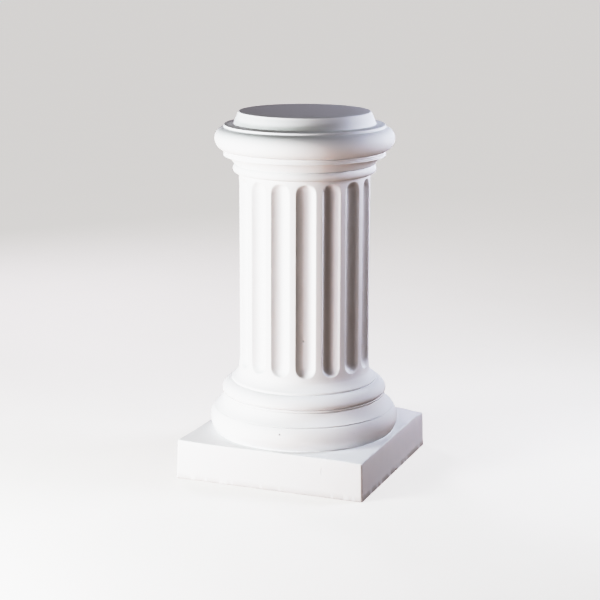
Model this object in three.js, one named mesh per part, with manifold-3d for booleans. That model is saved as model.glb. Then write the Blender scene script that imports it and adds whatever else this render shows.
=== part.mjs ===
// Fluted pedestal column, cast in one piece: square plinth, moulded base, fluted shaft and round capital.
// Millimetres, +Z up. The origin is the centre of the plinth's underside.
import * as THREE from 'three';
import { mergeVertices } from 'three/addons/utils/BufferGeometryUtils.js';
import Module from 'manifold-3d';

const wasm = await Module();
wasm.setup();

// Fineness: steps round the column, a flute's cutter and the plinth's corners and edge, how far the steps of
// an arc may stray from it, and how close two corners are when they count as one.
const turnSteps = 48;
const cutterSteps = 16;
const cornerSteps = 3;
const edgeSteps = 2;
const arcTolerance = 0.25;
const weldDistance = 1e-4;

// Shaft: widest at its foot, very slightly narrower under the capital.
const shaftFootRadius = 111;
const shaftTaper = 0.6;
const shaftHeight = 307.2;
const shaftTopRadius = shaftFootRadius - shaftTaper;

// Flutes: round-ended channels with flat bands left between them.
const fluteCount = 16;
const fluteShare = 0.725;
const fluteDepth = 12.5;
const fluteTopMargin = 5.6;
const fluteFootOverlap = 20;

// Plinth: square, a little wider at its foot, with rounded corners and a softened top edge.
const plinthHeight = 65.5;
const plinthMargin = 4;
const plinthTaper = 2;
const plinthCornerRadius = 5;
const plinthEdgeRadius = 2.5;

// Base mouldings, from the plinth up. A projection is measured out from the foot of the shaft.
const lowerTorusHeight = 39;
const lowerTorusFootProjection = 42.5;
const lowerTorusTopProjection = 42.6;
const lowerTorusBulge = 7.4;
const incisedLineHeight = 1.6;
const incisedLineDepth = 1.6;
const scotiaHeight = 20.4;
const scotiaTopProjection = 26.4;
const scotiaHollow = 2;
const baseFilletHeight = 3.2;
const baseFilletStep = 1;
const upperTorusHeight = 14.2;
const upperTorusTopProjection = 15.3;
const upperTorusBulge = 6.2;
const apophygeLipHeight = 3.4;
const apophygeProjection = 16.3;
const apophygeHeight = 23.3;
const apophygeHollow = 2.7;
const flareProjection = 1.9;
const flareHeight = 27;
const quirkDepth = 1.4;
const quirkHeight = 0.8;

// Capital mouldings, from the shaft up. A projection is measured out from the top of the shaft.
const astragalHeight = 16.3;
const astragalTopProjection = 3.8;
const astragalBulge = 7.1;
const cavettoHeight = 7.6;
const cavettoStartProjection = 7;
const cavettoTopProjection = 13.6;
const cavettoHollow = 0.8;
const annuletCount = 2;
const annuletHeight = 5;
const annuletFirstProjection = 15.6;
const annuletStep = 4.2;
const annuletSlope = 0.5;
const neckFilletHeight = 6.4;
const neckFilletProjection = 23.2;
const echinusHeight = 36.6;
const echinusFootProjection = 23.6;
const echinusTopProjection = 26;
const echinusBulge = 15.6;
const capRingHeight = 5.2;
const capRingProjection = 24.6;
const capRingEdge = 1.1;
const ledgeFall = 0.5;
const crownHeight = 21.5;
const crownFootProjection = 8;
const crownTopProjection = 0.1;
const crownBulge = 1.9;
const crownEdge = 1.2;

// Heights at which the mouldings meet, added up from the plinth's underside.
const quirkTop = plinthHeight + lowerTorusHeight + incisedLineHeight;
const scotiaTop = quirkTop + scotiaHeight;
const baseFilletTop = scotiaTop + baseFilletHeight;
const upperTorusFoot = baseFilletTop + quirkHeight;
const upperTorusTop = upperTorusFoot + upperTorusHeight;
const lipFoot = upperTorusTop + quirkHeight;
const lipTop = lipFoot + apophygeLipHeight;
const flareFoot = lipTop + apophygeHeight;
const shaftFoot = flareFoot + flareHeight;
const shaftTop = shaftFoot + shaftHeight;
const astragalTop = shaftTop + astragalHeight;
const cavettoTop = astragalTop + cavettoHeight;
const annuletsTop = cavettoTop + annuletCount * annuletHeight;
const neckFilletTop = annuletsTop + neckFilletHeight;
const echinusTop = neckFilletTop + echinusHeight;
const capRingTop = echinusTop + capRingHeight;
const columnTop = capRingTop + crownHeight;

// The plinth stands out past the lower torus by a margin, and the turned part starts inside the plinth.
const lowerTorusRadius = shaftFootRadius + lowerTorusTopProjection + lowerTorusBulge;
const plinthTopHalfSide = lowerTorusRadius + plinthMargin;
const turnedFoot = plinthHeight / 2;

// An outline of the turned part: points of radius and height, from the plinth up.
class Outline {
  constructor(radius, height) {
    this.points = [new THREE.Vector2(radius, height)];
  }

  get end() {
    return this.points[this.points.length - 1];
  }

  line(radius, height) {
    this.points.push(new THREE.Vector2(radius, height));
  }

  // A circular arc that stands out from its chord by bulge, or is hollowed by a negative bulge.
  arc(radius, height, bulge) {
    const start = this.end;
    const chord = new THREE.Vector2(radius, height).sub(start);
    const length = chord.length();
    const side = new THREE.Vector2(chord.y, -chord.x).divideScalar(length);
    const arcRadius = (length ** 2 / 4 + bulge ** 2) / (2 * bulge);
    const centre = start.clone().addScaledVector(chord, 1 / 2).addScaledVector(side, bulge - arcRadius);
    const turn = 4 * Math.atan2(bulge, length / 2);
    const steps = Math.ceil(Math.abs(turn) / (2 * Math.acos(1 - arcTolerance / Math.abs(arcRadius))));
    for (let i = 1; i <= steps; i += 1) {
      this.points.push(start.clone().rotateAround(centre, (i / steps) * turn));
    }
  }
}

function drawBase(outline) {
  const out = (projection) => shaftFootRadius + projection;
  outline.arc(out(lowerTorusTopProjection), plinthHeight + lowerTorusHeight, lowerTorusBulge);
  outline.line(out(lowerTorusTopProjection) - incisedLineDepth, quirkTop - incisedLineHeight / 2);
  outline.line(out(lowerTorusTopProjection) - incisedLineDepth / 2, quirkTop);
  outline.arc(out(scotiaTopProjection), scotiaTop, -scotiaHollow);
  outline.line(out(scotiaTopProjection) + baseFilletStep, scotiaTop);
  outline.line(out(scotiaTopProjection) + baseFilletStep, baseFilletTop);
  outline.line(out(scotiaTopProjection) + baseFilletStep - quirkDepth, upperTorusFoot - quirkHeight / 2);
  outline.line(out(scotiaTopProjection) + baseFilletStep, upperTorusFoot);
  outline.arc(out(upperTorusTopProjection), upperTorusTop, upperTorusBulge);
  outline.line(out(apophygeProjection) - quirkDepth, lipFoot);
  outline.line(out(apophygeProjection), lipFoot + quirkHeight / 2);
  outline.line(out(apophygeProjection), lipTop);
  outline.arc(out(flareProjection), flareFoot, -apophygeHollow);
  outline.line(shaftFootRadius, shaftFoot);
}

function drawCapital(outline) {
  const out = (projection) => shaftTopRadius + projection;
  outline.line(shaftTopRadius, shaftTop);
  outline.arc(out(astragalTopProjection), astragalTop, astragalBulge);
  outline.line(out(cavettoStartProjection), astragalTop + quirkHeight);
  outline.arc(out(cavettoTopProjection), cavettoTop, -cavettoHollow);
  for (let i = 0; i < annuletCount; i += 1) {
    const projection = annuletFirstProjection + i * annuletStep;
    outline.line(out(projection), cavettoTop + i * annuletHeight + annuletSlope);
    outline.line(out(projection + annuletSlope), cavettoTop + (i + 1) * annuletHeight - annuletSlope);
  }
  outline.line(out(neckFilletProjection), annuletsTop);
  outline.line(out(neckFilletProjection), neckFilletTop - quirkHeight);
  outline.line(out(echinusFootProjection), neckFilletTop);
  outline.arc(out(echinusTopProjection), echinusTop, echinusBulge);
  outline.line(out(capRingProjection), echinusTop + quirkHeight);
  outline.line(out(capRingProjection), capRingTop - capRingEdge);
  outline.line(out(capRingProjection) - capRingEdge, capRingTop);
  outline.line(out(crownFootProjection), capRingTop + ledgeFall);
  outline.arc(out(crownTopProjection), columnTop - crownEdge, crownBulge);
  outline.line(out(crownTopProjection) - crownEdge, columnTop);
}

// A closed triangle mesh, placed by matrix, as a solid that can be joined and cut.
function solid(geometry, matrix = new THREE.Matrix4()) {
  const bare = geometry.clone().applyMatrix4(matrix);
  bare.deleteAttribute('normal');
  bare.deleteAttribute('uv');
  const merged = mergeVertices(bare, weldDistance);
  return new wasm.Manifold(new wasm.Mesh({
    numProp: 3,
    vertProperties: new Float32Array(merged.attributes.position.array),
    triVerts: new Uint32Array(merged.index.array),
  }));
}

// A turned solid whose axis is +Z.
function turned(points, steps) {
  return solid(new THREE.LatheGeometry(points, steps), new THREE.Matrix4().makeRotationX(Math.PI / 2));
}

// The round part from inside the plinth to the flat top.
function turnedColumn() {
  const outline = new Outline(0, turnedFoot);
  outline.line(shaftFootRadius + lowerTorusFootProjection, turnedFoot);
  outline.line(shaftFootRadius + lowerTorusFootProjection, plinthHeight);
  drawBase(outline);
  drawCapital(outline);
  outline.line(0, columnTop);
  return turned(outline.points, turnSteps);
}

// One level of the plinth: a square with round corners at a height, anticlockwise from +X.
function plinthRing(halfSide, height) {
  const ring = [];
  const flat = halfSide - plinthCornerRadius;
  const corners = [[flat, flat], [-flat, flat], [-flat, -flat], [flat, -flat]];
  corners.forEach(([x, y], corner) => {
    for (let i = 0; i <= cornerSteps; i += 1) {
      const angle = (corner + i / cornerSteps) * Math.PI / 2;
      const spoke = new THREE.Vector3(Math.cos(angle), Math.sin(angle), 0);
      ring.push(new THREE.Vector3(x, y, height).addScaledVector(spoke, plinthCornerRadius));
    }
  });
  return ring;
}

// The plinth as a skin over stacked levels, closed by a fan below and above.
function plinth() {
  const rings = [plinthRing(plinthTopHalfSide + plinthTaper, 0)];
  for (let i = 0; i <= edgeSteps; i += 1) {
    const angle = (i / edgeSteps) * Math.PI / 2;
    const inset = plinthEdgeRadius * (1 - Math.cos(angle));
    const drop = plinthEdgeRadius * (1 - Math.sin(angle));
    rings.push(plinthRing(plinthTopHalfSide - inset, plinthHeight - drop));
  }
  const count = rings[0].length;
  const vertices = [new THREE.Vector3(0, 0, 0), ...rings.flat(), new THREE.Vector3(0, 0, plinthHeight)];
  const last = vertices.length - 1;
  const index = [];
  for (let i = 0; i < count; i += 1) {
    const next = (i + 1) % count;
    index.push(0, 1 + next, 1 + i);
    for (let level = 0; level < rings.length - 1; level += 1) {
      const low = 1 + level * count;
      const high = low + count;
      index.push(low + i, low + next, high + next, low + i, high + next, high + i);
    }
    index.push(last, last - count + i, last - count + next);
  }
  const geometry = new THREE.BufferGeometry().setFromPoints(vertices);
  geometry.setIndex(index);
  return solid(geometry);
}

// The cutter for one flute: an upright rod with ball ends, in front of the shaft at +X.
function fluteCutter() {
  const shaftRadius = (shaftFootRadius + shaftTopRadius) / 2;
  const halfAngle = fluteShare * Math.PI / fluteCount;
  const halfWidth = shaftRadius * Math.sin(halfAngle);
  const belowChord = fluteDepth - shaftRadius * (1 - Math.cos(halfAngle));
  const rodRadius = (halfWidth ** 2 + belowChord ** 2) / (2 * belowChord);
  const axisDistance = shaftRadius - fluteDepth + rodRadius;
  const ballReach = Math.sqrt(rodRadius ** 2 - (axisDistance - shaftRadius) ** 2);
  const foot = shaftFoot - fluteFootOverlap + ballReach;
  const top = shaftTop - fluteTopMargin - ballReach;
  const quarter = cutterSteps / 4;
  const lowerBall = [];
  const upperBall = [];
  for (let i = 0; i <= quarter; i += 1) {
    const angle = (i / quarter) * Math.PI / 2;
    const radius = i === quarter ? 0 : rodRadius * Math.cos(angle);
    const reach = rodRadius * Math.sin(angle);
    lowerBall.unshift(new THREE.Vector2(radius, foot - reach));
    upperBall.push(new THREE.Vector2(radius, top + reach));
  }
  return turned([...lowerBall, ...upperBall], cutterSteps).translate([axisDistance, 0, 0]);
}

function flutedColumn() {
  let column = turnedColumn().add(plinth());
  const cutter = fluteCutter();
  for (let i = 0; i < fluteCount; i += 1) {
    column = column.subtract(cutter.rotate([0, 0, i * 360 / fluteCount]));
  }
  return column;
}

// The solid's triangles as a geometry.
function toGeometry(manifold) {
  const mesh = manifold.getMesh();
  const geometry = new THREE.BufferGeometry();
  geometry.setAttribute('position', new THREE.BufferAttribute(mesh.vertProperties, mesh.numProp));
  geometry.setIndex(new THREE.BufferAttribute(mesh.triVerts, 1));
  geometry.computeVertexNormals();
  return geometry;
}

const plaster = new THREE.MeshStandardMaterial({ color: 0xefefef, roughness: 0.85, metalness: 0 });
const column = new THREE.Mesh(toGeometry(flutedColumn()), plaster);
column.name = 'column';

const part = new THREE.Group();
part.add(column);

export default part;
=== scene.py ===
# Fluted pedestal column: one white plaster casting with a square plinth, a moulded base and a round capital.
import math

import bmesh
import bpy
from mathutils import Euler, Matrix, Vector


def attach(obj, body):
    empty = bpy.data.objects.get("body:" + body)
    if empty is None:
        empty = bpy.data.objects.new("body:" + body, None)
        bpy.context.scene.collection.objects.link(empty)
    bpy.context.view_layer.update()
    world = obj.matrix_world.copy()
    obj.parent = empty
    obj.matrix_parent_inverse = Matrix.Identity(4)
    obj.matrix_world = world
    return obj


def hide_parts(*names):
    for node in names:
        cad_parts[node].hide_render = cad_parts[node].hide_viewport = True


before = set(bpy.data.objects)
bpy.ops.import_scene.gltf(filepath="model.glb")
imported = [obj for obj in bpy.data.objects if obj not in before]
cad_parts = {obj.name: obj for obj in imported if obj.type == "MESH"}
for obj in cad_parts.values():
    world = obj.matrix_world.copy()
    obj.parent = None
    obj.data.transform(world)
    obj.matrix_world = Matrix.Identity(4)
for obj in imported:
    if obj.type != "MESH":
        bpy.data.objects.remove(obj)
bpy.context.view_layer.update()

# Sizes are metres. The shaft is widest at its foot and very slightly narrower under the capital.
SHAFT_FOOT_RADIUS = 0.111
SHAFT_TOP_RADIUS = 0.1104
SHAFT_FOOT = 0.1992
SHAFT_TOP = 0.5075

# Flutes: round-ended channels with flat bands left between them, their lips softened by the casting.
FLUTE_COUNT = 16
FLUTE_SHARE = 0.725
FLUTE_DEPTH = 0.0129
FLUTE_FOOT = 0.1792
FLUTE_TOP = 0.5008
FLUTE_LIP_BLEND = 0.0036

# Plinth: square, a little wider at its foot, with rounded corners and a softened edge above and below.
PLINTH_HEIGHT = 0.0655
PLINTH_FOOT_HALF_SIDE = 0.1665
PLINTH_TOP_HALF_SIDE = 0.165
PLINTH_CORNER_RADIUS = 0.0036
PLINTH_EDGE_RADIUS = 0.0025
PLINTH_FOOT_EDGE = 0.0008

# Base mouldings, from the plinth up: the height and radius at which each one ends.
TORUS_FOOT_RADIUS = 0.1535
TORUS_TOP = 0.1045
TORUS_TOP_RADIUS = 0.1536
TORUS_BULGE = 0.0074
INCISED_LINE_RISE = 0.0018
INCISED_LINE_DEPTH = 0.0026
SCOTIA_TOP = 0.1257
SCOTIA_TOP_RADIUS = 0.1371
SCOTIA_HOLLOW = 0.002
FILLET_RADIUS = 0.138
FILLET_TOP = 0.1297
UPPER_TORUS_BELLY = 0.138
UPPER_TORUS_BELLY_RADIUS = 0.1402
UPPER_TORUS_TUCK = 0.0013
UPPER_TORUS_TOP = 0.152
UPPER_TORUS_TOP_RADIUS = 0.1243
UPPER_TORUS_BULGE = 0.0031
LIP_RADIUS = 0.1238
LIP_TOP = 0.156
APOPHYGE_TOP = 0.17
APOPHYGE_TOP_RADIUS = 0.1118
APOPHYGE_HOLLOW = 0.0016
QUIRK_RISE = 0.001
QUIRK_DEPTH = 0.0014
LIP_QUIRK_DEPTH = 0.0008

# Capital mouldings, from the shaft up.
ASTRAGAL_TOP = 0.5217
ASTRAGAL_TOP_RADIUS = 0.1154
ASTRAGAL_BULGE = 0.0073
CAVETTO_FOOT_RADIUS = 0.1182
CAVETTO_TOP = 0.5353
CAVETTO_TOP_RADIUS = 0.1287
CAVETTO_HOLLOW = 0.0008
NECK_FILLET_RADIUS = 0.1357
NECK_FILLET_FOOT = 0.5367
NECK_FILLET_TOP = 0.5452
ANNULET_HEIGHTS = (0.5388, 0.5412)
ANNULET_LINE = 0.0007
ANNULET_DEPTH = 0.0008
ECHINUS_FOOT_RADIUS = 0.1345
ECHINUS_TOP = 0.5833
ECHINUS_TOP_RADIUS = 0.137
ECHINUS_SHOULDER = 0.568
ECHINUS_SHOULDER_RADIUS = 0.1505
ECHINUS_BULGE = 0.0053
ECHINUS_SHOULDER_BULGE = 0.003
CAP_RING_RADIUS = 0.135
CAP_RING_TOP = 0.5885
CAP_RING_EDGE = 0.0011
LEDGE_FALL = 0.0005
CROWN_FOOT_RADIUS = 0.1192
CROWN_TOP_RADIUS = 0.111
CROWN_BULGE = 0.0006
CROWN_EDGE = 0.0028
COLUMN_TOP = 0.61

# How far the casting's edges are softened: its arrises, its grooves and its meeting with the plinth.
SOFT_ARRIS = 0.0006
SOFT_GROOVE = 0.0003
SOFT_FOOT = 0.0012

# How far a quarter circle stands out from its chord, as a share of its radius.
ROUND_OVER = 1 - math.sqrt(0.5)

# Edges that turn by more than this are left crisp.
SHARP_EDGE_DEGREES = 50

# Fineness of the mesh.
ARC_STEP = 0.0032
SMALL_ARC_STEP = 0.0021
COLUMNS_ON_FLUTE = 8
COLUMNS_ON_LIP = 2
COLUMNS_ON_FLAT = 2
ROW_STEP_AT_FLUTE_END = 0.0008
ROW_GROWTH = 1.16
CORNER_STEPS = 8
EDGE_STEPS = 4
SIDE_STEPS = 6
TOP_STEPS = 6
WELD = 1e-5


# Selecting and small steps shared by the pieces.

def deselect_all():
    bpy.ops.object.select_all(action="DESELECT")


def in_edit_mode():
    bpy.ops.object.mode_set(mode="EDIT")


def in_object_mode():
    bpy.ops.object.mode_set(mode="OBJECT")


def select_vertices(test):
    """In edit mode, selects only the vertices for which test(place) is true."""
    mesh = bpy.context.object.data
    bpy.ops.mesh.select_mode(type="VERT")
    bpy.ops.mesh.select_all(action="DESELECT")
    edited = bmesh.from_edit_mesh(mesh)
    for vertex in edited.verts:
        vertex.select = test(vertex.co)
    edited.select_flush_mode()
    bmesh.update_edit_mesh(mesh)


def graded_steps(length, first_step, growth):
    """Steps that grow from both ends of a length towards its middle."""
    steps = []
    step = first_step
    while sum(steps) + step < length / 2:
        steps.append(step)
        step *= growth
    steps.append(length / 2 - sum(steps))
    return steps + steps[::-1]


# The turned outline: a chain of edges in the XZ plane, drawn upwards from the plinth.

class Outline:
    def __init__(self, radius, height):
        deselect_all()
        bpy.ops.mesh.primitive_plane_add(size=WELD)
        in_edit_mode()
        bpy.ops.mesh.select_mode(type="VERT")
        bpy.ops.mesh.select_all(action="SELECT")
        bpy.ops.mesh.merge(type="CENTER")
        self.corners = []
        bpy.ops.transform.translate(value=(radius, 0, height))
        self.end = Vector((radius, 0, height))

    def line(self, radius, height, soft=0):
        target = Vector((radius, 0, height))
        bpy.ops.mesh.extrude_region_move(TRANSFORM_OT_translate={"value": target - self.end})
        self.arrive(target, soft)

    def arc(self, radius, height, bulge, step, soft=0):
        """An arc that stands out from its chord by bulge, or is hollowed by a negative bulge."""
        target = Vector((radius, 0, height))
        chord = target - self.end
        outward = Vector((chord.z, 0, -chord.x)).normalized()
        arc_radius = (chord.length ** 2 / 4 + bulge ** 2) / (2 * bulge)
        centre = self.end + chord / 2 + outward * (bulge - arc_radius)
        turn = 4 * math.atan2(bulge, chord.length / 2)
        steps = math.ceil(abs(turn * arc_radius) / step)
        bpy.ops.mesh.spin(steps=steps, angle=turn, center=centre, axis=(0, 1, 0))
        self.arrive(target, soft)

    def arrive(self, target, soft):
        self.end = target
        if soft:
            self.corners.append((target, soft))

    def soften(self):
        """Rounds the corners that were noted on the way."""
        for place, soft in self.corners:
            select_vertices(lambda co: (co - place).length < WELD)
            segments = 1 if soft == SOFT_GROOVE else 2
            bpy.ops.mesh.bevel(offset=soft, segments=segments, affect="VERTICES", clamp_overlap=True)


def cut_quirk(outline, radius, depth=QUIRK_DEPTH):
    """A narrow groove that goes in from where the outline stands and comes out above at a radius."""
    foot = outline.end.z
    outline.line(min(outline.end.x, radius) - depth, foot + QUIRK_RISE / 2, SOFT_GROOVE)
    outline.line(radius, foot + QUIRK_RISE, SOFT_GROOVE)


def draw_base(outline):
    outline.line(TORUS_FOOT_RADIUS, PLINTH_HEIGHT, SOFT_FOOT)
    outline.arc(TORUS_TOP_RADIUS, TORUS_TOP, TORUS_BULGE, ARC_STEP, SOFT_ARRIS)
    outline.line(TORUS_TOP_RADIUS - INCISED_LINE_DEPTH, TORUS_TOP + INCISED_LINE_RISE / 2, SOFT_GROOVE)
    outline.line(TORUS_TOP_RADIUS - INCISED_LINE_DEPTH / 4, TORUS_TOP + INCISED_LINE_RISE, SOFT_GROOVE)
    outline.arc(SCOTIA_TOP_RADIUS, SCOTIA_TOP, -SCOTIA_HOLLOW, ARC_STEP, SOFT_GROOVE)
    cut_quirk(outline, FILLET_RADIUS)
    outline.line(FILLET_RADIUS, FILLET_TOP, SOFT_ARRIS)
    cut_quirk(outline, FILLET_RADIUS - QUIRK_DEPTH / 2)
    outline.arc(UPPER_TORUS_BELLY_RADIUS, UPPER_TORUS_BELLY, UPPER_TORUS_TUCK, SMALL_ARC_STEP)
    outline.arc(UPPER_TORUS_TOP_RADIUS, UPPER_TORUS_TOP, UPPER_TORUS_BULGE, SMALL_ARC_STEP, SOFT_GROOVE)
    cut_quirk(outline, LIP_RADIUS, LIP_QUIRK_DEPTH)
    outline.line(LIP_RADIUS, LIP_TOP, SOFT_ARRIS)
    outline.arc(APOPHYGE_TOP_RADIUS, APOPHYGE_TOP, -APOPHYGE_HOLLOW, ARC_STEP)


def draw_shaft(outline):
    """Straight stretches with rows of vertices that are close together at the ends of the flutes."""
    blend = FLUTE_LIP_BLEND / 2
    below = FLUTE_FOOT - blend
    flare = (APOPHYGE_TOP_RADIUS - SHAFT_FOOT_RADIUS) / (SHAFT_FOOT - APOPHYGE_TOP)
    taper = (SHAFT_FOOT_RADIUS - SHAFT_TOP_RADIUS) / (SHAFT_TOP - SHAFT_FOOT)

    def radius_at(height):
        if height < SHAFT_FOOT:
            return SHAFT_FOOT_RADIUS + flare * (SHAFT_FOOT - height)
        return SHAFT_FOOT_RADIUS - taper * (height - SHAFT_FOOT)

    height = below
    outline.line(radius_at(height), height)
    for step in graded_steps(FLUTE_TOP + blend - below, ROW_STEP_AT_FLUTE_END, ROW_GROWTH):
        height += step
        outline.line(radius_at(height), height)
    outline.line(SHAFT_TOP_RADIUS, SHAFT_TOP, SOFT_GROOVE)


def draw_capital(outline):
    outline.arc(ASTRAGAL_TOP_RADIUS, ASTRAGAL_TOP, ASTRAGAL_BULGE, SMALL_ARC_STEP, SOFT_GROOVE)
    outline.line(CAVETTO_FOOT_RADIUS, ASTRAGAL_TOP + QUIRK_RISE, SOFT_GROOVE)
    outline.arc(CAVETTO_TOP_RADIUS, CAVETTO_TOP, -CAVETTO_HOLLOW, SMALL_ARC_STEP, SOFT_GROOVE)
    outline.line(NECK_FILLET_RADIUS, NECK_FILLET_FOOT, SOFT_ARRIS)
    for height in ANNULET_HEIGHTS:
        outline.line(NECK_FILLET_RADIUS, height - ANNULET_LINE, SOFT_GROOVE)
        outline.line(NECK_FILLET_RADIUS - ANNULET_DEPTH, height, SOFT_GROOVE)
        outline.line(NECK_FILLET_RADIUS, height + ANNULET_LINE, SOFT_GROOVE)
    outline.line(NECK_FILLET_RADIUS, NECK_FILLET_TOP - QUIRK_RISE, SOFT_ARRIS)
    outline.line(ECHINUS_FOOT_RADIUS, NECK_FILLET_TOP, SOFT_GROOVE)
    outline.arc(ECHINUS_SHOULDER_RADIUS, ECHINUS_SHOULDER, ECHINUS_BULGE, ARC_STEP)
    outline.arc(ECHINUS_TOP_RADIUS, ECHINUS_TOP, ECHINUS_SHOULDER_BULGE, SMALL_ARC_STEP, SOFT_GROOVE)
    outline.line(CAP_RING_RADIUS, ECHINUS_TOP + QUIRK_RISE, SOFT_GROOVE)
    outline.line(CAP_RING_RADIUS, CAP_RING_TOP - CAP_RING_EDGE, SOFT_ARRIS)
    outline.line(CAP_RING_RADIUS - CAP_RING_EDGE, CAP_RING_TOP, SOFT_ARRIS)
    outline.line(CROWN_FOOT_RADIUS, CAP_RING_TOP + LEDGE_FALL, SOFT_ARRIS)
    outline.arc(CROWN_TOP_RADIUS, COLUMN_TOP - CROWN_EDGE, CROWN_BULGE, ARC_STEP)
    outline.arc(CROWN_TOP_RADIUS - CROWN_EDGE, COLUMN_TOP, CROWN_EDGE * ROUND_OVER, CROWN_EDGE / 2)
    for share in (0.7, 0.35, 0.1, 0):
        outline.line(CROWN_TOP_RADIUS * share, COLUMN_TOP)


# Flutes

def flute_rod():
    """Radius and distance from the column's axis of the rod whose shape a flute takes."""
    radius = (SHAFT_FOOT_RADIUS + SHAFT_TOP_RADIUS) / 2
    half_angle = FLUTE_SHARE * math.pi / FLUTE_COUNT
    half_width = radius * math.sin(half_angle)
    below_chord = FLUTE_DEPTH - radius * (1 - math.cos(half_angle))
    rod_radius = (half_width ** 2 + below_chord ** 2) / (2 * below_chord)
    return rod_radius, radius - FLUTE_DEPTH + rod_radius


def flute_turns():
    """Turns from a flute's middle to a flat's middle: along the hollow, then the lip, then the flat."""
    rod_radius, rod_distance = flute_rod()
    half_angle = FLUTE_SHARE * math.pi / FLUTE_COUNT
    half_width = SHAFT_FOOT_RADIUS * math.sin(half_angle)
    wall = math.asin(half_width / rod_radius)
    angles = []
    for i in range(COLUMNS_ON_FLUTE + 1):
        across = rod_radius * math.sin(wall * i / COLUMNS_ON_FLUTE)
        angles.append(math.asin(across / SHAFT_FOOT_RADIUS))
    lip = FLUTE_LIP_BLEND / 3 / SHAFT_FOOT_RADIUS
    angles += [half_angle + lip * (i + 1) / COLUMNS_ON_LIP for i in range(COLUMNS_ON_LIP)]
    flat = math.pi / FLUTE_COUNT - angles[-1]
    angles += [angles[-1] + flat * (i + 1) / COLUMNS_ON_FLAT for i in range(COLUMNS_ON_FLAT)]
    return [b - a for a, b in zip(angles, angles[1:])]


def flute_depth(place):
    """How deep the flute that faces +X is at a place on the shaft, with a softened lip."""
    rod_radius, rod_distance = flute_rod()
    radius = math.hypot(place.x, place.y)
    half_angle = FLUTE_SHARE * math.pi / FLUTE_COUNT
    end_reach = SHAFT_FOOT_RADIUS * math.sin(half_angle)
    above = max(0, place.z - (FLUTE_TOP - end_reach))
    below = max(0, FLUTE_FOOT + end_reach - place.z)
    across = math.hypot(place.y, above + below)
    edge = end_reach
    inside = min(across, edge)
    depth = math.sqrt(rod_radius ** 2 - inside ** 2) - rod_distance + place.x
    depth -= max(0, across - edge) * edge / math.sqrt(rod_radius ** 2 - edge ** 2)
    blend = max(FLUTE_LIP_BLEND - abs(depth), 0)
    return max(depth, 0) + blend ** 2 / (4 * FLUTE_LIP_BLEND)


def sink_flute(column):
    group = column.vertex_groups.new(name="flute")
    for vertex in column.data.vertices:
        place = vertex.co
        if FLUTE_FOOT - FLUTE_LIP_BLEND < place.z < FLUTE_TOP + FLUTE_LIP_BLEND:
            group.add([vertex.index], flute_depth(place) / FLUTE_DEPTH, "REPLACE")
    sinking = column.modifiers.new("flute", "DISPLACE")
    sinking.vertex_group = "flute"
    sinking.mid_level = 0
    sinking.strength = -FLUTE_DEPTH
    bpy.ops.object.modifier_apply(modifier=sinking.name)
    column.vertex_groups.clear()


def add_turned_part():
    outline = Outline(TORUS_FOOT_RADIUS + SOFT_FOOT * 2, PLINTH_HEIGHT)
    draw_base(outline)
    draw_shaft(outline)
    draw_capital(outline)
    outline.soften()
    bpy.ops.mesh.select_all(action="SELECT")
    for turn in flute_turns():
        bpy.ops.mesh.spin(steps=1, angle=turn, center=(0, 0, 0), axis=(0, 0, 1))
    in_object_mode()
    turned = bpy.context.object
    mirror = turned.modifiers.new("other half", "MIRROR")
    mirror.use_axis = (False, True, False)
    mirror.merge_threshold = WELD
    bpy.ops.object.modifier_apply(modifier=mirror.name)
    sink_flute(turned)
    in_edit_mode()
    bpy.ops.mesh.select_all(action="SELECT")
    copies = FLUTE_COUNT - 1
    turn = 2 * math.pi * copies / FLUTE_COUNT
    bpy.ops.mesh.spin(steps=copies, angle=turn, dupli=True, center=(0, 0, 0), axis=(0, 0, 1))
    bpy.ops.mesh.select_all(action="SELECT")
    bpy.ops.mesh.remove_doubles(threshold=WELD)
    in_object_mode()
    return turned


# Plinth

def square_place(index, columns, half_side):
    """A numbered column on a square with round corners, counted from the middle of the +X side."""
    per_side = columns // 4
    side = round(index / per_side)
    offset = index - side * per_side
    straight = per_side // 2 - CORNER_STEPS // 2
    flat = half_side - PLINTH_CORNER_RADIUS
    turn = max(0, abs(offset) - straight) / CORNER_STEPS * math.pi / 2
    along = flat * min(1, abs(offset) / straight) + PLINTH_CORNER_RADIUS * math.sin(turn)
    place = Vector((flat + PLINTH_CORNER_RADIUS * math.cos(turn), math.copysign(along, offset), 0))
    place.rotate(Euler((0, 0, side * math.pi / 2)))
    return place


def selected_in_order(edited):
    """The selected ring of vertices, counted round the axis from the middle of +X."""
    ring = [vertex for vertex in edited.verts if vertex.select]
    half_column = math.pi / len(ring)

    def turn(vertex):
        return (math.atan2(vertex.co.y, vertex.co.x) + half_column / 8) % (2 * math.pi)

    return sorted(ring, key=turn)


def spread_to_square(share):
    """Moves the selected ring that share of its way to the plinth's upper edge."""
    mesh = bpy.context.object.data
    edited = bmesh.from_edit_mesh(mesh)
    ring = selected_in_order(edited)
    for index, vertex in enumerate(ring):
        target = square_place(index, len(ring), PLINTH_TOP_HALF_SIDE - PLINTH_EDGE_RADIUS)
        target.z = PLINTH_HEIGHT
        vertex.co = vertex.co.lerp(target, share)
    bmesh.update_edit_mesh(mesh)


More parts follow.
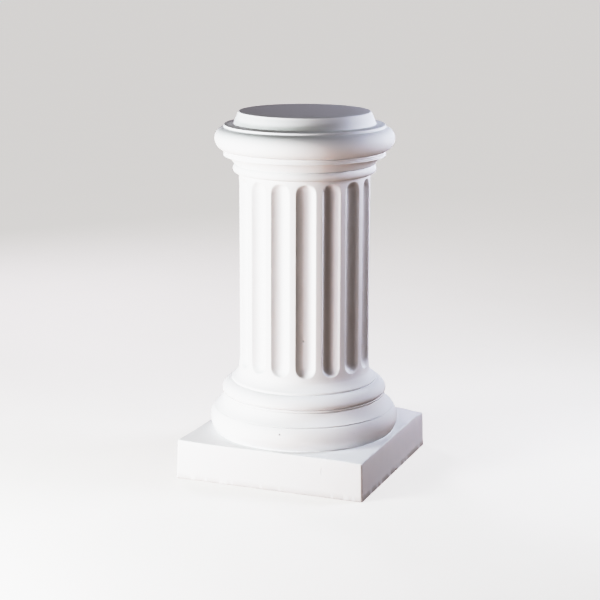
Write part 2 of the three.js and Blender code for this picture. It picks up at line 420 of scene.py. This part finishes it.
def plinth_levels():
    """Heights and half sides from the upper edge, rounded over, down the side to the softened foot."""
    levels = []
    side_top = PLINTH_HEIGHT - PLINTH_EDGE_RADIUS
    for i in range(EDGE_STEPS + 1):
        angle = (1 - i / EDGE_STEPS) * math.pi / 2
        inset = PLINTH_EDGE_RADIUS * (1 - math.cos(angle))
        levels.append((side_top + PLINTH_EDGE_RADIUS * math.sin(angle), PLINTH_TOP_HALF_SIDE - inset))
    for i in range(1, SIDE_STEPS + 1):
        share = i / SIDE_STEPS
        height = side_top + (PLINTH_FOOT_EDGE - side_top) * share
        levels.append((height, PLINTH_TOP_HALF_SIDE + (PLINTH_FOOT_HALF_SIDE - PLINTH_TOP_HALF_SIDE) * share))
    levels.append((0, PLINTH_FOOT_HALF_SIDE - PLINTH_FOOT_EDGE))
    return levels


def spread_plinth():
    """Draws the open foot of the turned part out over the plinth, down its sides, and closes it below."""
    in_edit_mode()
    bpy.ops.mesh.select_mode(type="EDGE")
    bpy.ops.mesh.select_all(action="DESELECT")
    bpy.ops.mesh.select_non_manifold(
        use_wire=False, use_multi_face=False, use_non_contiguous=False, use_verts=False
    )
    for left in range(TOP_STEPS, 0, -1):
        bpy.ops.mesh.extrude_region_move()
        spread_to_square(1 / left)
    levels = plinth_levels()
    for (high, narrow), (low, wide) in zip(levels, levels[1:]):
        bpy.ops.mesh.extrude_region_move(TRANSFORM_OT_translate={"value": (0, 0, low - high)})
        bpy.ops.transform.resize(value=(wide / narrow, wide / narrow, 1))
    bpy.ops.mesh.edge_face_add()
    in_object_mode()


# Wear and casting faults

# The hand-finished plinth: which corner gave (its side of X, Y and Z), by how much, and how far round it.
CORNER_SAGS = (
    ((1, 1, 1), (0, 0, -0.0048), 0.045),
    ((1, -1, 1), (-0.0006, 0.0006, -0.0014), 0.03),
    ((-1, -1, 1), (0, 0, 0.0012), 0.07),
    ((-1, -1, 0), (0, 0, 0.0008), 0.012),
)
CORNER_GRIP = 0.004
PLINTH_UNEVENNESS = 0.0009
UNEVENNESS_SIZE = 0.035
FOOT_RAGGEDNESS = 0.0002

# Pinholes left by air in the plaster: degrees to the left of the camera, height, radius.
PINHOLES = ((1, 0.239, 0.0017), (14.6, 0.095, 0.0017), (24, 0.3905, 0.0006), (-31, 0.092, 0.0006))
PINHOLE_SINK = 0.45
CHIP_PLACE = (0.1672, 0.007, -0.0008)
CHIP_SIZE = (0.0034, 0.0052, 0.0048)
MARK_PLACE = (0.095, -0.1654, 0.044)
MARK_SIZE = (0.0008, 0.0011, 0.0075)


def sag_corners():
    in_edit_mode()
    for (side_x, side_y, side_z), shift, reach in CORNER_SAGS:
        half = PLINTH_TOP_HALF_SIDE if side_z else PLINTH_FOOT_HALF_SIDE
        corner = Vector((side_x * half, side_y * half, side_z * PLINTH_HEIGHT))
        select_vertices(lambda co: (co - corner).length < CORNER_GRIP)
        bpy.ops.transform.translate(
            value=shift,
            use_proportional_edit=True,
            proportional_edit_falloff="SMOOTH",
            proportional_size=reach,
        )
    in_object_mode()


def roughen_foot():
    in_edit_mode()
    select_vertices(lambda co: abs(co.z - PLINTH_FOOT_EDGE) < WELD)
    bpy.ops.transform.vertex_random(offset=FOOT_RAGGEDNESS, uniform=0.5, seed=4)
    in_object_mode()


def uneven_plinth(column):
    """Slight hollows in the plinth's sides and top, none of them under its foot or where the torus stands."""
    group = column.vertex_groups.new(name="plinth")
    for vertex in column.data.vertices:
        place = vertex.co
        if place.z < PLINTH_HEIGHT + PLINTH_UNEVENNESS * 2:
            clear_of_torus = (math.hypot(place.x, place.y) - TORUS_FOOT_RADIUS - SOFT_FOOT * 3) / 0.01
            clear_of_foot = (place.z - PLINTH_FOOT_EDGE * 2) / 0.01
            weight = min(max(min(clear_of_torus, clear_of_foot), 0), 1)
            group.add([vertex.index], weight, "REPLACE")
    clouds = bpy.data.textures.new("uneven plaster", "CLOUDS")
    clouds.noise_scale = UNEVENNESS_SIZE
    hollows = column.modifiers.new("hollows", "DISPLACE")
    hollows.vertex_group = "plinth"
    hollows.texture = clouds
    hollows.texture_coords = "LOCAL"
    hollows.mid_level = 1
    hollows.strength = PLINTH_UNEVENNESS
    bpy.ops.object.modifier_apply(modifier=hollows.name)
    column.vertex_groups.clear()


def pinhole_place(column, degrees_left, height, radius):
    """Just under the surface that faces that many degrees to the left of the camera at a height."""
    direction = level_direction(degrees_left)
    start = direction + Vector((0, 0, height))
    found, place, normal, face = column.ray_cast(start, -direction)
    return place - direction * radius * PINHOLE_SINK


def cut_faults(column):
    """Cuts the pinholes, a chip in the foot's edge and a knife mark, all in one go."""
    faults = [(pinhole_place(column, *pinhole), (pinhole[2],) * 3) for pinhole in PINHOLES]
    faults += [(CHIP_PLACE, CHIP_SIZE), (MARK_PLACE, MARK_SIZE)]
    deselect_all()
    bits = []
    for place, size in faults:
        bpy.ops.mesh.primitive_ico_sphere_add(subdivisions=3, radius=1, location=place, scale=size)
        bits.append(bpy.context.object)
    for bit in bits:
        bit.select_set(True)
    bpy.ops.object.join()
    cutter = bpy.context.object
    deselect_all()
    column.select_set(True)
    bpy.context.view_layer.objects.active = column
    cut = column.modifiers.new("faults", "BOOLEAN")
    cut.operation = "DIFFERENCE"
    cut.solver = "MANIFOLD"
    cut.object = cutter
    bpy.ops.object.modifier_apply(modifier=cut.name)
    bpy.data.objects.remove(cutter)


def add_column():
    column = add_turned_part()
    spread_plinth()
    in_edit_mode()
    bpy.ops.mesh.select_all(action="SELECT")
    bpy.ops.mesh.normals_make_consistent(inside=False)
    in_object_mode()
    uneven_plinth(column)
    sag_corners()
    roughen_foot()
    cut_faults(column)
    bpy.ops.object.shade_smooth_by_angle(angle=math.radians(SHARP_EDGE_DEGREES))
    column.name = "column_casting"
    return column


# Materials

def add_noise(nodes, scale, detail, roughness=0.5):
    noise = nodes.new("ShaderNodeTexNoise")
    noise.inputs["Scale"].default_value = scale
    noise.inputs["Detail"].default_value = detail
    noise.inputs["Roughness"].default_value = roughness
    return noise


def add_range(nodes, low, high, to_low, to_high):
    stretch = nodes.new("ShaderNodeMapRange")
    stretch.inputs["From Min"].default_value = low
    stretch.inputs["From Max"].default_value = high
    stretch.inputs["To Min"].default_value = to_low
    stretch.inputs["To Max"].default_value = to_high
    return stretch


def add_colour_mix(nodes, first, second):
    mix = nodes.new("ShaderNodeMix")
    mix.data_type = "RGBA"
    mix.inputs["A"].default_value = (*first, 1)
    mix.inputs["B"].default_value = (*second, 1)
    return mix


def mineral_grain():
    """The grain of a mineral surface, shared by the plaster and the floor: broad clouds and a fine relief."""
    group = bpy.data.node_groups.new("mineral grain", "ShaderNodeTree")
    face = group.interface
    face.new_socket("Place", in_out="INPUT", socket_type="NodeSocketVector")
    face.new_socket("Cloud Scale", in_out="INPUT", socket_type="NodeSocketFloat")
    face.new_socket("Grain Scale", in_out="INPUT", socket_type="NodeSocketFloat")
    face.new_socket("Relief", in_out="INPUT", socket_type="NodeSocketFloat")
    face.new_socket("Clouds", in_out="OUTPUT", socket_type="NodeSocketFloat")
    face.new_socket("Grain", in_out="OUTPUT", socket_type="NodeSocketFloat")
    face.new_socket("Normal", in_out="OUTPUT", socket_type="NodeSocketVector")
    nodes, links = group.nodes, group.links
    start, end = nodes.new("NodeGroupInput"), nodes.new("NodeGroupOutput")
    clouds, grain = add_noise(nodes, 1, 5, 0.6), add_noise(nodes, 1, 3)
    spread = add_range(nodes, 0.3, 0.7, 0, 1)
    bump = nodes.new("ShaderNodeBump")
    bump.inputs["Distance"].default_value = 0.0002
    links.new(start.outputs["Place"], clouds.inputs["Vector"])
    links.new(start.outputs["Place"], grain.inputs["Vector"])
    links.new(start.outputs["Cloud Scale"], clouds.inputs["Scale"])
    links.new(start.outputs["Grain Scale"], grain.inputs["Scale"])
    links.new(clouds.outputs["Fac"], spread.inputs["Value"])
    links.new(grain.outputs["Fac"], bump.inputs["Height"])
    links.new(start.outputs["Relief"], bump.inputs["Strength"])
    links.new(spread.outputs["Result"], end.inputs["Clouds"])
    links.new(grain.outputs["Fac"], end.inputs["Grain"])
    links.new(bump.outputs["Normal"], end.inputs["Normal"])
    return group


def add_grain(nodes, group, cloud_scale, grain_scale, relief):
    grain = nodes.new("ShaderNodeGroup")
    grain.node_tree = group
    grain.inputs["Cloud Scale"].default_value = cloud_scale
    grain.inputs["Grain Scale"].default_value = grain_scale
    grain.inputs["Relief"].default_value = relief
    return grain


def plaster_material(grain_group):
    """Chalky white, with faint clouds, level streaks from the turned pattern, pores, and painted shade that
    darkens the grooves.
    """
    material = bpy.data.materials.new("white plaster")
    material.use_nodes = True
    nodes, links = material.node_tree.nodes, material.node_tree.links
    shader = nodes["Principled BSDF"]
    shader.inputs["Specular IOR Level"].default_value = 0.3
    place = nodes.new("ShaderNodeTexCoord").outputs["Object"]

    grain = add_grain(nodes, grain_group, 11, 420, 0.25)
    links.new(place, grain.inputs["Place"])
    clouded = add_colour_mix(nodes, (0.85, 0.84, 0.831), (0.895, 0.887, 0.88))
    links.new(grain.outputs["Clouds"], clouded.inputs["Factor"])

    squash = nodes.new("ShaderNodeMapping")
    squash.inputs["Scale"].default_value = (1, 1, 28)
    streaks = add_noise(nodes, 9, 4)
    streak_share = add_range(nodes, 0.35, 0.65, 0, 0.35)
    streaked = add_colour_mix(nodes, (1, 1, 1), (0.8, 0.79, 0.785))
    links.new(place, squash.inputs["Vector"])
    links.new(squash.outputs["Vector"], streaks.inputs["Vector"])
    links.new(streaks.outputs["Fac"], streak_share.inputs["Value"])
    links.new(streak_share.outputs["Result"], streaked.inputs["Factor"])
    links.new(clouded.outputs["Result"], streaked.inputs["A"])

    pores = nodes.new("ShaderNodeTexVoronoi")
    pores.inputs["Scale"].default_value = 130
    pore_size = add_range(nodes, 0.06, 0.02, 0, 1)
    pored = add_colour_mix(nodes, (1, 1, 1), (0.5, 0.47, 0.45))
    pore_relief = nodes.new("ShaderNodeBump")
    pore_relief.invert = True
    pore_relief.inputs["Strength"].default_value = 0.6
    pore_relief.inputs["Distance"].default_value = 0.0005
    links.new(place, pores.inputs["Vector"])
    links.new(pores.outputs["Distance"], pore_size.inputs["Value"])
    links.new(pore_size.outputs["Result"], pored.inputs["Factor"])
    links.new(streaked.outputs["Result"], pored.inputs["A"])
    links.new(pore_size.outputs["Result"], pore_relief.inputs["Height"])
    links.new(grain.outputs["Normal"], pore_relief.inputs["Normal"])
    links.new(pore_relief.outputs["Normal"], shader.inputs["Normal"])

    # Painted shade: where ambient occlusion finds the surface hemmed in, in grooves and crevices, the colour
    # is darkened towards brown-grey.
    hidden = nodes.new("ShaderNodeAmbientOcclusion")
    hidden.inputs["Distance"].default_value = 0.004
    groove_shade_share = add_range(nodes, 0.75, 0.3, 0, 0.6)
    groove_shade_painted = add_colour_mix(nodes, (1, 1, 1), (0.62, 0.57, 0.55))
    links.new(hidden.outputs["AO"], groove_shade_share.inputs["Value"])
    links.new(groove_shade_share.outputs["Result"], groove_shade_painted.inputs["Factor"])
    links.new(pored.outputs["Result"], groove_shade_painted.inputs["A"])
    links.new(groove_shade_painted.outputs["Result"], shader.inputs["Base Color"])

    dullness = add_range(nodes, 0.3, 0.7, 0.74, 0.88)
    links.new(grain.outputs["Grain"], dullness.inputs["Value"])
    links.new(dullness.outputs["Result"], shader.inputs["Roughness"])
    return material


def floor_material(grain_group):
    """Pale where it is seen, but it throws only a dim, warm light back into the casting's shadows."""
    material = bpy.data.materials.new("pale floor")
    material.use_nodes = True
    nodes, links = material.node_tree.nodes, material.node_tree.links
    seen = nodes["Principled BSDF"]
    place = nodes.new("ShaderNodeTexCoord").outputs["Object"]
    grain = add_grain(nodes, grain_group, 3, 250, 0.2)
    clouded = add_colour_mix(nodes, (0.4, 0.39, 0.38), (0.43, 0.42, 0.41))
    links.new(place, grain.inputs["Place"])
    links.new(grain.outputs["Clouds"], clouded.inputs["Factor"])
    links.new(clouded.outputs["Result"], seen.inputs["Base Color"])
    links.new(grain.outputs["Normal"], seen.inputs["Normal"])
    seen.inputs["Roughness"].default_value = 0.9
    seen.inputs["Emission Color"].default_value = (1, 0.985, 0.97, 1)
    seen.inputs["Emission Strength"].default_value = 0.62
    thrown = nodes.new("ShaderNodeBsdfDiffuse")
    thrown.inputs["Color"].default_value = (0.32, 0.2, 0.13, 1)
    ray = nodes.new("ShaderNodeLightPath")
    mix = nodes.new("ShaderNodeMixShader")
    links.new(ray.outputs["Is Camera Ray"], mix.inputs["Fac"])
    links.new(thrown.outputs["BSDF"], mix.inputs[1])
    links.new(seen.outputs["BSDF"], mix.inputs[2])
    links.new(mix.outputs["Shader"], nodes["Material Output"].inputs["Surface"])
    return material


# Floor, light and camera

VIEW_TURN = math.radians(21.466)
CAMERA_PITCH = math.radians(12.71)
CAMERA_ROLL = math.radians(0.13)
CAMERA_HEIGHT = 0.9003
CAMERA_DISTANCE = 2.7194
AXIS_OFFSET = 0.0073
FOCAL_LENGTH_PX = 1633.6
PHOTO_WIDTH_PX = 600

TONE_WHITE = 1.6
TONE_TOP = 0.955
TONE_POINTS = ((0.15, 0.07), (0.3, 0.19), (0.45, 0.385), (0.62, 0.62), (0.9, 0.82), (1.2, 0.915))


def add_floor(grain_group):
    deselect_all()
    bpy.ops.mesh.primitive_plane_add(size=60)
    floor = bpy.context.object
    floor.name = "floor"
    floor.data.materials.append(floor_material(grain_group))


def level_direction(degrees_left):
    """A level direction from the column towards a light that many degrees to the left of the camera."""
    turn = VIEW_TURN - math.pi / 2 - math.radians(degrees_left)
    return Vector((math.cos(turn), math.sin(turn), 0))


def add_area_light(name, degrees_left, distance, height, aim_height, size, power, colour):
    place = level_direction(degrees_left) * distance
    place.z = height
    data = bpy.data.lights.new(name, "AREA")
    data.shape = "RECTANGLE"
    data.size, data.size_y = size
    data.energy = power
    data.color = colour
    light = bpy.data.objects.new(name, data)
    light.location = place
    aim = Vector((0, 0, aim_height)) - place
    light.rotation_euler = aim.to_track_quat("-Z", "Y").to_euler()
    light.visible_camera = False
    bpy.context.scene.collection.objects.link(light)


def add_lights():
    add_area_light("key light", 62, 1.2, 0.6, 0.35, (0.4, 0.4), 12.6, (0.93, 0.99, 0.98))
    add_area_light("low key light", 38, 1.2, 0.14, 0.35, (0.4, 0.25), 9.4, (0.95, 0.95, 1))
    add_area_light("side light", -94, 0.95, 0.8, 0.3, (0.35, 0.35), 9.4, (0.82, 0.88, 1))
    add_area_light("back light", 150, 1.8, 1.2, 0.3, (0.4, 0.4), 12.5, (0.97, 0.88, 1))
    add_area_light("front light", -40, 1.8, 1.2, 0.3, (0.4, 0.4), 2.8, (1, 0.84, 0.76))
    world = bpy.data.worlds.new("studio")
    world.use_nodes = True
    world.node_tree.nodes["Background"].inputs["Color"].default_value = (1, 0.9, 0.9, 1)
    world.node_tree.nodes["Background"].inputs["Strength"].default_value = 0.09
    bpy.context.scene.world = world


def set_tones():
    """The contrast of a photographic print: deeper shadows, and whites that stop short of pure white."""
    settings = bpy.context.scene.view_settings
    settings.view_transform = "Standard"
    settings.use_curve_mapping = True
    curves = settings.curve_mapping
    curves.white_level = (TONE_WHITE, TONE_WHITE, TONE_WHITE)
    master = curves.curves[3]
    for light, tone in TONE_POINTS:
        master.points.new(light / TONE_WHITE, tone)
    master.points[-1].location = (1, TONE_TOP)
    curves.update()


def add_camera():
    data = bpy.data.cameras.new("camera")
    data.lens = data.sensor_width * FOCAL_LENGTH_PX / PHOTO_WIDTH_PX
    camera = bpy.data.objects.new("camera", data)
    forward = Vector((-math.sin(VIEW_TURN), math.cos(VIEW_TURN), 0))
    right = Vector((math.cos(VIEW_TURN), math.sin(VIEW_TURN), 0))
    camera.location = -forward * CAMERA_DISTANCE - right * AXIS_OFFSET + Vector((0, 0, CAMERA_HEIGHT))
    camera.rotation_euler = (math.pi / 2 - CAMERA_PITCH, 0, VIEW_TURN)
    camera.rotation_euler.rotate_axis("Z", CAMERA_ROLL)
    bpy.context.scene.collection.objects.link(camera)
    bpy.context.scene.camera = camera


grain_group = mineral_grain()
column = add_column()
column.data.materials.append(plaster_material(grain_group))
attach(column, "root")
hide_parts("column")
add_floor(grain_group)
add_lights()
add_camera()
set_tones()
